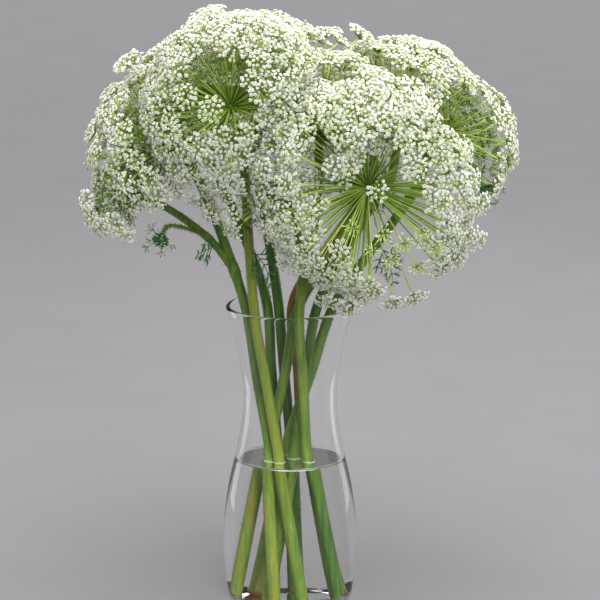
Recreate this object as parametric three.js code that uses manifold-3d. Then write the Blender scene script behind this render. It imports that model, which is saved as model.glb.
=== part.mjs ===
// Queen Anne's lace, a bunch of cut umbels standing in water in a waisted glass vase.
//
// Millimetres, +Z up, -Y to the front. The origin is the middle of the vase's flat foot. Every flower head is
// an umbel: a hub on top of its stem, rays that spring from the hub, and on each ray an umbellet of raised
// florets. The florets are larger than life, so that a few of them still cover the dome.

import * as THREE from "three";
import { mergeVertices } from "three/addons/utils/BufferGeometryUtils.js";
import Module from "manifold-3d";

const wasm = await Module();
wasm.setup();

// Vase: radius and height of the outer wall, from the foot over the belly and the waist to the lip
const VASE_OUTLINE = [
  [41, 0],
  [44.4, 7],
  [49.3, 52],
  [46, 90],
  [35.4, 141],
  [34.6, 168],
  [39.6, 202],
  [46.6, 227],
];
const WALL = 2.8;
const FLOOR = 8;
const VASE_SIDES = 28;
const VASE_STEPS = 11;
const CLEARANCE = 0.3;

// Water: the height of its surface
const WATER_LEVEL = 114;

// Stems: each is straight from its foot on the vase's floor up to the neck, and from there to the mouth. They
// lean past each other, as in a hand-tied bunch.
const STEM_RADIUS = 3.8;
const BRANCH_RADIUS = 2.6;
const TWIG_RADIUS = 1.2;
const HOLE_RADIUS = 4.7; // of the plain hole in the water that each stem stands in
const HOLE_OVERRUN = 4; // how far the tool that cuts a hole runs on beyond the water
const STEM_SIDES = 8;
const STEM_STEPS = 14;
const BRANCH_SIDES = 6;
const BRANCH_STEPS = 6;
const FOOT_HEIGHT = 10;
const BELLY_HEIGHT = 66;
const NECK_HEIGHT = 124;
const WAIST_HEIGHT = 176;
const MOUTH_HEIGHT = 230;
const LAST_STRETCH = 46; // the length in which a stem turns to its hub

// A branch: how many of its own radii it first keeps to its stem's line, where its last stretch begins, as a
// share of the way to its hub, and how soon it bends there
const BRANCH_BEND = { keeps: 5, last: 0.5, soon: 0.3 };

// Heads. hub: where the rays spring from. faces: the way the dome looks. reach: length of the rays. spread:
// degrees from the axis to the outermost ray. open: degrees round the axis that the rays leave free.
// umbellets: how many. upright: how far the stem's last stretch leans from the head's axis towards upright.
// stem: where it stands at the foot's, the neck's and the mouth's height, or the stem that it branches from,
// how far up, and how thick.
const HEADS = {
  right_front: {
    hub: [56, -50, 326], faces: [0.05, -0.98, -0.08], reach: 80, spread: 100, open: 34, umbellets: 26,
    upright: 0.45, stem: { foot: [-14, -10], neck: [4, -3], mouth: [20, -8] },
  },
  left_front: {
    hub: [-42, -36, 382], faces: [-0.25, -0.87, 0.35], reach: 66, spread: 98, open: 26, umbellets: 21,
    upright: 0.45, stem: { foot: [8, -14], neck: [-9, -16], mouth: [-26, -17] },
  },
  centre_front: {
    hub: [21, -20, 357], faces: [0.0, -0.5, 0.87], reach: 68, spread: 80, open: 0, umbellets: 19,
    upright: 0.45, stem: { foot: [31, -10], neck: [12, -14], mouth: [7, -22] },
  },
  top: {
    hub: [-30, 16, 383], faces: [-0.2, -0.2, 0.96], reach: 66, spread: 82, open: 0, umbellets: 19,
    upright: 0.45, stem: { foot: [3, 30], neck: [0, 24], mouth: [-9, 19] },
  },
  right_top: {
    hub: [81, 6, 366], faces: [0.3, -0.25, 0.92], reach: 65, spread: 80, open: 0, umbellets: 17,
    upright: 0.45, stem: { foot: [-32, 4], neck: [-15, 2], mouth: [8, 6] },
  },
  right_side: {
    hub: [114, 20, 354], faces: [0.75, -0.1, 0.65], reach: 56, spread: 95, open: 0, umbellets: 16,
    upright: 0.45, stem: { foot: [-18, 18], neck: [-2, 9], mouth: [33, 0] },
  },
  left_top: {
    hub: [-86, 0, 349], faces: [-0.55, -0.5, 0.67], reach: 63, spread: 94, open: 0, umbellets: 18,
    upright: 0.2, stem: { foot: [-10, -26], neck: [-15, -9], mouth: [-33, -2] },
  },
  left_low: {
    hub: [-117, -12, 316], faces: [-0.6, -0.6, 0.4], reach: 39, spread: 92, open: 0, umbellets: 12,
    upright: 0, stem: { from: "left_top", at: 0.7, radius: BRANCH_RADIUS },
  },
  back_left: {
    hub: [-64, 56, 370], faces: [-0.35, 0.5, 0.79], reach: 61, spread: 80, open: 0, umbellets: 17,
    upright: 0.45, stem: { foot: [-9, 30], neck: [-10, 21], mouth: [-18, 22] },
  },
  back: {
    hub: [68, 60, 346], faces: [0.4, 0.4, 0.82], reach: 70, spread: 84, open: 0, umbellets: 17,
    upright: 0.45, stem: { foot: [24, 19], neck: [9, 17], mouth: [3, 15] },
  },
  centre_low: {
    hub: [-14, -36, 316], faces: [-0.3, -0.9, 0.1], reach: 44, spread: 94, open: 0, umbellets: 12,
    upright: 0, stem: { from: "centre_front", at: 0.7, radius: BRANCH_RADIUS },
  },
  left_young: {
    hub: [-94, -18, 281], faces: [-0.25, -0.9, -0.3], reach: 13, spread: 84, open: 0, umbellets: 6,
    upright: 0, stem: { from: "left_low", at: 0.3, radius: TWIG_RADIUS },
  },
  right_young: {
    hub: [143, 6, 313], faces: [0.4, -0.7, -0.6], reach: 14, spread: 84, open: 0, umbellets: 7,
    upright: 0, stem: { from: "right_side", at: 0.86, radius: TWIG_RADIUS },
  },
};
const FULL_REACH = 50; // heads with shorter rays have thinner rays and a smaller hub
const LEAST_SIZE = 0.3; // the share of the full thickness that the smallest head keeps
const HUB = { radius: 5.4, base: 3.7, height: 3.6, neck: 6, sides: 7 };
const DOME_HEIGHT = 0.84; // a dome is this much lower than a half ball
const RAY = { radius: 1.1, arch: 0.06, middle: 0.55, root: 0.5 };

// Rays keep this much more than the clearance from their neighbours
const RAY_MARGIN = 0.15;

// A ray that would meet a neighbour is tried again, shorter or turned about its head's axis:
// [share of its reach, turn in radians]
const RAY_TRIES = [
  [1, 0], [0.9, 0], [0.95, 0.2], [0.95, -0.2],
  [0.8, 0], [0.8, 0.25], [0.8, -0.25], [0.68, 0],
];

// Umbellet: fill is how much of its share of the dome it covers, tilt how far it turns from its ray's way
// towards the head's, and sink how far its cup reaches back along its ray. Each pair is [out, lift] from the
// ray's tip: to a lobe of the cup, a notch between two lobes, the waist round the middle floret, the tip of
// an outer floret and the tip of the middle one. All are shares of the umbellet's radius.
const LOBES = 5;
const UMBELLET = {
  fill: 0.84,
  tilt: 0.35,
  sink: 0.3,
  lobe: [1, 0.34],
  notch: [0.72, 0.26],
  waist: [0.36, 0.34],
  floret: [0.68, 0.6],
  crown: [0, 0.62],
};

// Leaves, cut into threads. stem: what they grow from, and how far up it. way: where they point. length.
const LEAVES = {
  left: { stem: "left_low", at: 0.22, way: [-0.5, -0.85, 0.1], length: 25 },
  middle: { stem: "left_front", at: 0.69, way: [0.4, -0.5, -0.4], length: 30 },
  right: { stem: "right_side", at: 0.75, way: [0.3, -0.5, -0.6], length: 30 },
};
const THREAD_RADIUS = 0.7;
const FINE_THREAD_RADIUS = 0.56;
const THREAD_SIDES = 3;
const RIB_STEPS = 4;

// How a leaf is cut, as shares of its length: where its pairs of side threads grow, how long a pair at its
// very base would be, how far out each side thread forks, how long its fork is, how much the leaf droops,
// how far its rib runs square to the stem, and how far a side thread leans ahead
const LEAF_CUT = {
  pairs: [0.35, 0.7], side: 0.55, fork: 0.45, twig: 0.5, droop: 0.2, square: 0.35, lean: 0.7,
};

const up = new THREE.Vector3(0, 0, 1);
const front = new THREE.Vector3(0, -1, 0);
const vector = (list) => new THREE.Vector3(...list);

// A closed geometry as a solid that can be joined and cut
function solidOf(geometry) {
  const bare = geometry.index ? geometry.toNonIndexed() : geometry.clone();
  bare.deleteAttribute("normal");
  bare.deleteAttribute("uv");
  const merged = mergeVertices(bare, 1e-4);
  const vertProperties = merged.attributes.position.array;
  const triVerts = new Uint32Array(merged.index.array);
  return new wasm.Manifold(new wasm.Mesh({ numProp: 3, vertProperties, triVerts }));
}

// A solid as a geometry with flat faces
function geometryOf(solid) {
  const mesh = solid.getMesh();
  const positions = new Float32Array(mesh.triVerts.length * 3);
  mesh.triVerts.forEach((vertex, i) => {
    for (let k = 0; k < 3; k++) positions[3 * i + k] = mesh.vertProperties[vertex * mesh.numProp + k];
  });
  const geometry = new THREE.BufferGeometry();
  geometry.setAttribute("position", new THREE.BufferAttribute(positions, 3));
  geometry.computeVertexNormals();
  return geometry;
}

function latheZ(outline, sides) {
  return new THREE.LatheGeometry(outline, sides).rotateX(Math.PI / 2);
}

// The vase's outer wall from foot to lip, moved inward by a distance
function wallLine(inward, steps) {
  const wall = new THREE.SplineCurve(VASE_OUTLINE.map(([r, z]) => new THREE.Vector2(r, z)));
  return Array.from({ length: steps + 1 }, (_, i) => {
    const point = wall.getPointAt(i / steps);
    const along = wall.getTangentAt(i / steps);
    return new THREE.Vector2(point.x - along.y * inward, point.y + along.x * inward);
  });
}

function makeVase() {
  const outside = wallLine(0, VASE_STEPS);
  const inside = wallLine(WALL, VASE_STEPS).filter((p) => p.y > FLOOR + WALL);
  const lip = wallLine(WALL / 2, VASE_STEPS).at(-1);
  lip.y += WALL / 2;
  const floorEdge = new THREE.Vector2(inside[0].x - WALL, FLOOR);
  const outline = [
    new THREE.Vector2(0, 0),
    ...outside,
    lip,
    ...inside.reverse(),
    floorEdge,
    new THREE.Vector2(0, FLOOR),
  ];
  return latheZ(outline, VASE_SIDES);
}

// The water fills the vase to its level, and each stem stands in a plain hole in it
function makeWater(stemLines) {
  const wall = wallLine(WALL + CLEARANCE, VASE_STEPS).filter((p) => p.y > FLOOR + WALL);
  const above = wall.findIndex((p) => p.y > WATER_LEVEL);
  const share = (WATER_LEVEL - wall[above - 1].y) / (wall[above].y - wall[above - 1].y);
  const edge = wall[above - 1].clone().lerp(wall[above], share);
  const outline = [
    new THREE.Vector2(0, FLOOR + CLEARANCE),
    new THREE.Vector2(wall[0].x - WALL, FLOOR + CLEARANCE),
    ...wall.slice(0, above),
    edge,
    new THREE.Vector2(0, WATER_LEVEL),
  ];
  let water = solidOf(latheZ(outline, VASE_SIDES));
  for (const line of stemLines) {
    const hole = new THREE.LineCurve3(line(FLOOR - HOLE_OVERRUN), line(WATER_LEVEL + HOLE_OVERRUN));
    water = water.subtract(solidOf(tube(hole, HOLE_RADIUS, 1)));
  }
  return geometryOf(water);
}

// A round bar of even thickness along a curve
function tube(curve, radius, steps, sides = STEM_SIDES) {
  const section = new THREE.Shape();
  for (let i = 0; i < sides; i++) {
    const turn = (i / sides) * 2 * Math.PI;
    const point = [radius * Math.cos(turn), radius * Math.sin(turn)];
    if (i === 0) section.moveTo(...point);
    else section.lineTo(...point);
  }
  return new THREE.ExtrudeGeometry(section, { steps, bevelEnabled: false, extrudePath: curve });
}

// Where a stem is at a height, inside the vase
function standingLine({ foot, neck, mouth }) {
  const low = new THREE.Vector3(...foot, FOOT_HEIGHT);
  const middle = new THREE.Vector3(...neck, NECK_HEIGHT);
  const high = new THREE.Vector3(...mouth, MOUTH_HEIGHT);
  return (z) => {
    const [start, end] = z <= NECK_HEIGHT ? [low, middle] : [middle, high];
    return start.clone().lerp(end, (z - start.z) / (end.z - start.z));
  };
}

// How thick a head's hub and rays are, as a share of a full-grown head's
function sizeOf(head) {
  return LEAST_SIZE + (1 - LEAST_SIZE) * Math.min(1, head.reach / FULL_REACH);
}

// Where the stem's last stretch begins, below the hub
function arrival(head, distance) {
  const way = vector(head.faces).normalize().lerp(up, head.upright).normalize();
  return vector(head.hub).addScaledVector(way, -distance);
}

// The stem's last two points, in line with the head's axis: the second is where it ends, just under the hub
function seat(head) {
  const facing = vector(head.faces).normalize();
  const end = HUB.neck * sizeOf(head) + CLEARANCE;
  return [end * 2, end].map((below) => vector(head.hub).addScaledVector(facing, -below));
}

function stemCurve(head) {
  const heights = [FOOT_HEIGHT, BELLY_HEIGHT, WATER_LEVEL, NECK_HEIGHT, WAIST_HEIGHT, MOUTH_HEIGHT];
  const points = [...heights.map(standingLine(head.stem)), arrival(head, LAST_STRETCH), ...seat(head)];
  return new THREE.CatmullRomCurve3(points, false, "centripetal");
}

// A side branch leaves its stem at a narrow angle and bends out to its own head
function branchCurve(head, parent) {
  const fork = parent.getPointAt(head.stem.at);
  const along = parent.getTangentAt(head.stem.at);
  const bend = fork.clone().addScaledVector(along, BRANCH_BEND.keeps * head.stem.radius);
  const outward = arrival(head, BRANCH_BEND.last * bend.distanceTo(vector(head.hub)));
  const points = [fork, bend.lerp(outward, BRANCH_BEND.soon), outward, ...seat(head)];
  return new THREE.CatmullRomCurve3(points, false, "centripetal");
}

// The name of the stem in the vase that carries a head
function rootOf(name) {
  const { from } = HEADS[name].stem;
  return from ? rootOf(from) : name;
}

// A leaf cut into threads: a rib that leaves its stem squarely, and pairs of forked threads along it. It
// lies flat to the front.
function makeLeaf(leaf, parent, parentRadius) {
  const way = vector(leaf.way).normalize();
  const side = way.clone().cross(front).normalize();
  const off = way.clone().projectOnPlane(parent.getTangentAt(leaf.at)).normalize();
  const base = parent.getPointAt(leaf.at).addScaledVector(off, parentRadius + CLEARANCE);
  const reach = (from, direction, length, rise) => (
    from.clone().addScaledVector(direction, length).addScaledVector(up, length * rise)
  );
  const rib = new THREE.QuadraticBezierCurve3(
    base,
    reach(base, off, leaf.length * LEAF_CUT.square, 0),
    reach(base, way, leaf.length, -LEAF_CUT.droop),
  );
  const threads = [solidOf(tube(rib, THREAD_RADIUS, RIB_STEPS, THREAD_SIDES))];
  const addThread = (from, to) => {
    threads.push(solidOf(tube(new THREE.LineCurve3(from, to), FINE_THREAD_RADIUS, 1, THREAD_SIDES)));
  };
  for (const share of LEAF_CUT.pairs) {
    const length = leaf.length * LEAF_CUT.side * (1 - share);
    for (const hand of [-1, 1]) {
      const out = way.clone().multiplyScalar(LEAF_CUT.lean).addScaledVector(side, hand).normalize();
      const start = rib.getPointAt(share);
      const end = reach(start, out, length, -LEAF_CUT.droop);
      const fork = start.clone().lerp(end, LEAF_CUT.fork);
      addThread(start, end);
      addThread(fork, reach(fork, way, length * LEAF_CUT.twig, LEAF_CUT.droop));
    }
  }
  return wasm.Manifold.union(threads);
}

// A head's inner and outer edge, and what lies between them, measured along the axis of a unit ball
const edgeHeights = ({ open, spread }) => [open, spread].map(THREE.MathUtils.degToRad).map(Math.cos);
const domeShare = (head) => edgeHeights(head)[0] - edgeHeights(head)[1];

// Points on a dome, evenly spread by the golden angle: unit directions in the head's own frame, +Z its axis
function domeDirections(head) {
  const golden = Math.PI * (3 - Math.sqrt(5));
  const [top] = edgeHeights(head);
  return Array.from({ length: head.umbellets }, (_, i) => {
    const z = top - domeShare(head) * ((i + 0.5) / head.umbellets);
    const r = Math.sqrt(1 - z * z);
    return new THREE.Vector3(r * Math.cos(i * golden), r * Math.sin(i * golden), z);
  });
}

// Triangles between two closed rings of vertex numbers that turn the same way, whatever their counts
function bridge(faces, lower, upper) {
  let i = 0;
  let j = 0;
  while (i < lower.length || j < upper.length) {
    const a = lower[i % lower.length];
    const b = upper[j % upper.length];
    if (j >= upper.length || (i < lower.length && (i + 0.5) / lower.length <= (j + 0.5) / upper.length)) {
      faces.push(a, lower[(i + 1) % lower.length], b);
      i++;
    } else {
      faces.push(a, upper[(j + 1) % upper.length], b);
      j++;
    }
  }
}

// One ray with its umbellet, in one closed skin. The ray is a three-sided bar that arches from root to tip
// and opens into a lobed cup. On the cup, one floret stands on each lobe and one in the middle. grow makes
// the whole of it that much fatter.
function makeRay(root, tip, facing, radius, thickness, grow) {
  const positions = [];
  const faces = [];
  const side = Math.abs(facing.z) < 0.9 ? up : new THREE.Vector3(1, 0, 0);
  const right = side.clone().cross(facing).normalize();
  const over = facing.clone().cross(right);
  const corner = (centre, angle, out, lift) => {
    const point = centre.clone()
      .addScaledVector(right, out * Math.cos(angle))
      .addScaledVector(over, out * Math.sin(angle))
      .addScaledVector(facing, lift);
    positions.push(point.x, point.y, point.z);
    return positions.length / 3 - 1;
  };
  const step = Math.PI / LOBES;
  const circle = (count, place) => Array.from({ length: count }, (_, i) => place(i));

  const straight = tip.clone().sub(root);
  const arch = facing.clone().cross(straight).cross(facing).setLength(straight.length() * RAY.arch);
  const middle = root.clone().lerp(tip, RAY.middle).add(arch);
  const third = (2 * Math.PI) / 3;
  const bars = [root, middle, tip].map((centre) => (
    circle(3, (i) => corner(centre, i * third, thickness + grow, 0))
  ));
  faces.push(bars[0][2], bars[0][1], bars[0][0]);
  bridge(faces, bars[0], bars[1]);
  bridge(faces, bars[1], bars[2]);

  const around = (angle, [out, lift], outGrow, liftGrow) => (
    corner(tip, angle, radius * out + outGrow, radius * lift + liftGrow)
  );
  const rim = circle(2 * LOBES, (i) => around(i * step, i % 2 ? UMBELLET.notch : UMBELLET.lobe, grow, 0));
  bridge(faces, bars[2], rim);
  const waist = circle(LOBES, (i) => around((2 * i + 1) * step, UMBELLET.waist, 0, grow));
  const florets = circle(LOBES, (i) => around(2 * i * step, UMBELLET.floret, 0, grow));
  const crown = around(0, UMBELLET.crown, 0, grow);
  for (let i = 0; i < LOBES; i++) {
    const before = (i + LOBES - 1) % LOBES;
    const edge = [waist[before], rim[2 * before + 1], rim[2 * i], rim[2 * i + 1], waist[i]];
    edge.forEach((vertex, k) => faces.push(vertex, edge[(k + 1) % edge.length], florets[i]));
    faces.push(waist[before], waist[i], crown);
  }
  const geometry = new THREE.BufferGeometry();
  geometry.setAttribute("position", new THREE.BufferAttribute(new Float32Array(positions), 3));
  geometry.setIndex(faces);
  return solidOf(geometry);
}

function makeHub(frame, size) {
  const outline = [
    new THREE.Vector2(0, -HUB.neck),
    new THREE.Vector2(HUB.base, -HUB.neck),
    new THREE.Vector2(HUB.radius, 0),
    new THREE.Vector2(0, HUB.height),
  ];
  return solidOf(latheZ(outline.map((p) => p.multiplyScalar(size)), HUB.sides).applyMatrix4(frame));
}

// A whole umbel. A ray is left out where a neighbour stands in its way at every try.
function makeHead(head, taken) {
  const facing = vector(head.faces).normalize();
  const turn = new THREE.Quaternion().setFromUnitVectors(up, facing);
  const frame = new THREE.Matrix4().compose(vector(head.hub), turn, new THREE.Vector3(1, 1, 1));
  const size = sizeOf(head);
  const radius = UMBELLET.fill * head.reach * Math.sqrt((2 * domeShare(head)) / head.umbellets);
  const rayAlong = (way, [share, angle], grow) => {
    const turned = way.clone().applyAxisAngle(up, angle);
    const root = turned.clone().multiplyScalar(HUB.height * RAY.root * size).applyMatrix4(frame);
    const tip = new THREE.Vector3(turned.x, turned.y, turned.z * DOME_HEIGHT)
      .multiplyScalar(head.reach * share - radius * UMBELLET.sink)
      .applyMatrix4(frame);
    const looks = turned.lerp(up, UMBELLET.tilt).applyQuaternion(turn).normalize();
    return makeRay(root, tip, looks, radius, RAY.radius * size, grow);
  };
  const rays = domeDirections(head).flatMap((way) => {
    const clear = RAY_TRIES.find((trial) => {
      const fat = rayAlong(way, trial, CLEARANCE + RAY_MARGIN);
      return !taken.some((other) => meets(fat, other));
    });
    return clear ? [rayAlong(way, clear, 0)] : [];
  });
  return wasm.Manifold.union([makeHub(frame, size), ...rays]);
}

// Whether two solids share any space
function meets(a, b) {
  const [boxA, boxB] = [a.boundingBox(), b.boundingBox()];
  const apart = [0, 1, 2].some((k) => boxA.min[k] > boxB.max[k] || boxB.min[k] > boxA.max[k]);
  return !apart && !a.intersect(b).isEmpty();
}

const materials = {
  glass: new THREE.MeshStandardMaterial({
    color: 0xe9f1ee, roughness: 0.04, metalness: 0, transparent: true, opacity: 0.3,
  }),
  water: new THREE.MeshStandardMaterial({
    color: 0xe4ece8, roughness: 0.05, metalness: 0, transparent: true, opacity: 0.25,
  }),
  stem: new THREE.MeshStandardMaterial({ color: 0x5f8f3e, roughness: 0.5, metalness: 0 }),
  leaf: new THREE.MeshStandardMaterial({ color: 0x3f6b35, roughness: 0.6, metalness: 0 }),
  umbel: new THREE.MeshStandardMaterial({ color: 0xe6ecd2, roughness: 0.7, metalness: 0 }),
};

const bunch = new THREE.Group();
const addMesh = (name, geometry, material) => {
  const mesh = new THREE.Mesh(geometry, material);
  mesh.name = name;
  bunch.add(mesh);
};

addMesh("vase", makeVase(), materials.glass);

const standing = Object.values(HEADS).filter((head) => head.stem.foot);
addMesh("water", makeWater(standing.map((head) => standingLine(head.stem))), materials.water);

// Every stem with its branches, each one node
const curves = {};
const stems = {};
for (const [name, head] of Object.entries(HEADS)) {
  const { from, radius } = head.stem;
  curves[name] = from ? branchCurve(head, curves[from]) : stemCurve(head);
  if (from) {
    const branch = solidOf(tube(curves[name], radius, BRANCH_STEPS, BRANCH_SIDES));
    stems[rootOf(name)] = stems[rootOf(name)].add(branch);
  } else {
    stems[name] = solidOf(tube(curves[name], STEM_RADIUS, STEM_STEPS));
  }
}
const taken = [solidOf(makeVase()), ...Object.values(stems)];
for (const [name, stem] of Object.entries(stems)) addMesh("stem_" + name, geometryOf(stem), materials.stem);

for (const [name, leaf] of Object.entries(LEAVES)) {
  const solid = makeLeaf(leaf, curves[leaf.stem], HEADS[leaf.stem].stem.radius ?? STEM_RADIUS);
  taken.push(solid);
  addMesh("leaf_" + name, geometryOf(solid), materials.leaf);
}

for (const [name, head] of Object.entries(HEADS)) {
  const solid = makeHead(head, taken);
  taken.push(solid);
  addMesh("umbel_" + name, geometryOf(solid), materials.umbel);
}

export default bunch;
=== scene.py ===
import bpy
import math
import numpy as np
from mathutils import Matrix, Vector


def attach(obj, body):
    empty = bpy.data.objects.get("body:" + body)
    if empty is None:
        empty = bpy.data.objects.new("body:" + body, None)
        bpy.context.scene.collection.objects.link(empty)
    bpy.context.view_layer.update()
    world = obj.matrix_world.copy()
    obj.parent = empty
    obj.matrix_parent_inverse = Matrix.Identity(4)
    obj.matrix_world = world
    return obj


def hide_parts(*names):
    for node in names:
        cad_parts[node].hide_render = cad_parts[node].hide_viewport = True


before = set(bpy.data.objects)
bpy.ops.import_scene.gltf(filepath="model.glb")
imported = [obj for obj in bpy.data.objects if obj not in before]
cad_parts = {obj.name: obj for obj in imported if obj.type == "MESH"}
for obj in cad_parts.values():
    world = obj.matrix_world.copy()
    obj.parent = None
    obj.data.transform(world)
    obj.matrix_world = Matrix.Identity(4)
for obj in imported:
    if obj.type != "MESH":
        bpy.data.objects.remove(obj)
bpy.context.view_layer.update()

# Queen Anne's lace: a bunch of cut umbels standing in water in a waisted glass vase.
# The frame is in metres, +Z up and -Y to the front. Sizes below are in millimetres unless a note says
# otherwise, and buildPiece turns them to metres.

perMetre = 1000
seed = 20
up = np.array([0.0, 0.0, 1.0])
goldenAngle = math.pi * (3 - math.sqrt(5))


# Helpers for lines and meshes

def unit(v):
    v = np.asarray(v, float)
    return v / np.maximum(np.linalg.norm(v, axis=-1, keepdims=True), 1e-9)


def smoothLine(points, steps):
    # a smooth curve through the points, as points spaced evenly along its length
    points = np.asarray(points, float)
    first = 2 * points[0] - points[1]
    last = 2 * points[-1] - points[-2]
    p = np.vstack([first, points, last])
    cuts = 24
    t = np.linspace(0, 1, cuts, endpoint=False)[:, None]
    parts = []
    for i in range(1, len(p) - 2):
        a, b, c, d = p[i - 1], p[i], p[i + 1], p[i + 2]
        ab, bc, cd = (max(np.linalg.norm(e), 1e-6) ** 0.5 for e in (b - a, c - b, d - c))
        out = ((b - a) / ab - (c - a) / (ab + bc) + (c - b) / bc) * bc
        into = ((c - b) / bc - (d - b) / (bc + cd) + (d - c) / cd) * bc
        parts.append(b + t * out + t**2 * (3 * (c - b) - 2 * out - into) + t**3 * (2 * (b - c) + out + into))
    dense = np.vstack(parts + [points[-1:]])
    length = np.concatenate([[0], np.cumsum(np.linalg.norm(np.diff(dense, axis=0), axis=1))])
    even = np.linspace(0, length[-1], steps + 1)
    return np.column_stack([np.interp(even, length, dense[:, k]) for k in range(3)])


def pointAt(line, share):
    # the point and the direction a share of the way along a line
    place = share * (len(line) - 1)
    i = min(int(place), len(line) - 2)
    return line[i] + (line[i + 1] - line[i]) * (place - i), unit(line[i + 1] - line[i])


def notAlong(v):
    # for each direction, another that isn't in line with it
    return np.where(np.abs(v[:, 2:]) < 0.9, up, np.array([1.0, 0.0, 0.0]))


def around(sides):
    return np.arange(sides) / sides * 2 * math.pi


def bandFaces(rings, sides):
    # the triangles between rings of corners, each ring joined to the next
    faces = []
    for i in range(rings - 1):
        for j in range(sides):
            a, b = i * sides + j, i * sides + (j + 1) % sides
            faces += [(a, b, b + sides), (a, b + sides, a + sides)]
    return faces


def tubes(paths, radii, sides, ridge=0.0, ridges=0):
    # round bars along many lines at once, all with the same number of points; ridge is how far their ribs
    # stand out, as a share of the radius
    paths = np.asarray(paths, float)
    along = unit(np.gradient(paths, axis=1))
    whole = unit(paths[:, -1] - paths[:, 0])
    right = unit(np.cross(whole, notAlong(whole)))[:, None]
    right = unit(right - np.sum(right * along, axis=2, keepdims=True) * along)
    over = np.cross(along, right)
    turn = around(sides)
    size = np.asarray(radii, float)[:, :, None] * (1 + ridge * np.cos(turn * ridges))
    ring = np.cos(turn)[:, None] * right[:, :, None] + np.sin(turn)[:, None] * over[:, :, None]
    points = paths[:, :, None] + size[..., None] * ring
    count, steps = paths.shape[:2]
    faces = bandFaces(steps, sides)
    end = (steps - 1) * sides
    for j in range(1, sides - 1):
        faces += [(0, j + 1, j), (end, end + j, end + j + 1)]
    return points.reshape(count, steps * sides, 3), np.array(faces)


def turned(line, sides):
    # the rings that a line of (radius, height) points makes when it is turned about Z
    turn = around(sides)
    return np.stack([line[:, :1] * np.cos(turn), line[:, :1] * np.sin(turn), line[:, 1:] + 0 * turn], axis=2)


def closedRings(rings, bottomHeight, topHeight):
    # a solid from rings about Z, closed by a point on the axis at either end
    count, sides = rings.shape[:2]
    points = np.vstack([rings.reshape(-1, 3), [0, 0, bottomHeight], [0, 0, topHeight]])
    bottom, top = len(points) - 2, len(points) - 1
    end = (count - 1) * sides
    faces = bandFaces(count, sides)
    for j in range(sides):
        k = (j + 1) % sides
        faces += [(bottom, k, j), (top, end + j, end + k)]
    return points[None], np.array(faces)


def lathe(outline, sides):
    # a solid of revolution about Z, from (radius, height) points that start and end on the axis
    outline = np.asarray(outline, float)
    return closedRings(turned(outline[1:-1], sides), outline[0, 1], outline[-1, 1])


class Skin:
    # gathers many copies of shapes into one mesh, with a tone at every corner for the material to read
    def __init__(self):
        self.points = []
        self.faces = []
        self.tones = []
        self.count = 0

    def add(self, points, faces, tones=0.0):
        copies, corners = points.shape[:2]
        starts = self.count + corners * np.arange(copies)
        self.points.append(points.reshape(-1, 3))
        self.faces.append((faces[None] + starts[:, None, None]).reshape(-1, 3))
        self.tones.append(np.broadcast_to(tones, (copies, corners)).reshape(-1))
        self.count += copies * corners


def buildPiece(name, skin, material, solid):
    # makes one smooth mesh that takes the place of a solid of the part
    points = np.vstack(skin.points).astype(np.float32) / perMetre
    faces = np.vstack(skin.faces).astype(np.int32)
    mesh = bpy.data.meshes.new(name)
    mesh.vertices.add(len(points))
    mesh.vertices.foreach_set("co", points.ravel())
    mesh.loops.add(faces.size)
    mesh.loops.foreach_set("vertex_index", faces.ravel())
    mesh.polygons.add(len(faces))
    mesh.polygons.foreach_set("loop_start", np.arange(0, faces.size, 3, dtype=np.int32))
    mesh.polygons.foreach_set("use_smooth", np.full(len(faces), True))
    mesh.update(calc_edges=True)
    tone = mesh.attributes.new("tone", "FLOAT", "POINT")
    tone.data.foreach_set("value", np.concatenate(skin.tones).astype(np.float32))
    mesh.materials.append(material)
    piece = bpy.data.objects.new(name, mesh)
    bpy.context.collection.objects.link(piece)
    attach(piece, "root")
    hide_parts(solid)
    print(name, len(faces), "triangles")
    return piece


# Helpers for materials

def linear(hexColour):
    # sRGB hex to the linear colour that shaders take
    parts = [int(hexColour[i:i + 2], 16) / 255 for i in (1, 3, 5)]
    shares = [c / 12.92 if c <= 0.04045 else ((c + 0.055) / 1.055) ** 2.4 for c in parts]
    return (*shares, 1.0)


def node(tree, kind, settings=None, stops=(), **links):
    # adds a node; links give its inputs a value or another node's output, and stops are a ramp's colours
    made = tree.nodes.new(kind)
    for key, value in (settings or {}).items():
        setattr(made, key, value)
    for i, (place, hexColour) in enumerate(stops):
        # a ramp starts with two stops, its lowest and its highest
        stop = made.color_ramp.elements[i] if i < 2 else made.color_ramp.elements.new(place)
        stop.position = place
        stop.color = linear(hexColour)
    for key, value in links.items():
        # i and a number is the input's place, and anything else is its name
        numbered = key[0] == "i" and key[1:].isdigit()
        socket = made.inputs[int(key[1:]) if numbered else key.replace("_", " ")]
        if isinstance(value, bpy.types.NodeSocket):
            tree.links.new(value, socket)
        else:
            socket.default_value = value
    return made


def newMaterial(name, **shaderValues):
    # a plain material, its node tree, its shader, and the object's coordinates for the patterns in it
    material = bpy.data.materials.new(name)
    material.use_nodes = True
    tree = material.node_tree
    shader = tree.nodes["Principled BSDF"]
    for key, value in shaderValues.items():
        shader.inputs[key.replace("_", " ")].default_value = value
    place = node(tree, "ShaderNodeTexCoord").outputs["Object"]
    return material, tree, shader, place


# Materials. The sizes of their patterns are in millimetres, as those of the pieces are

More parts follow.
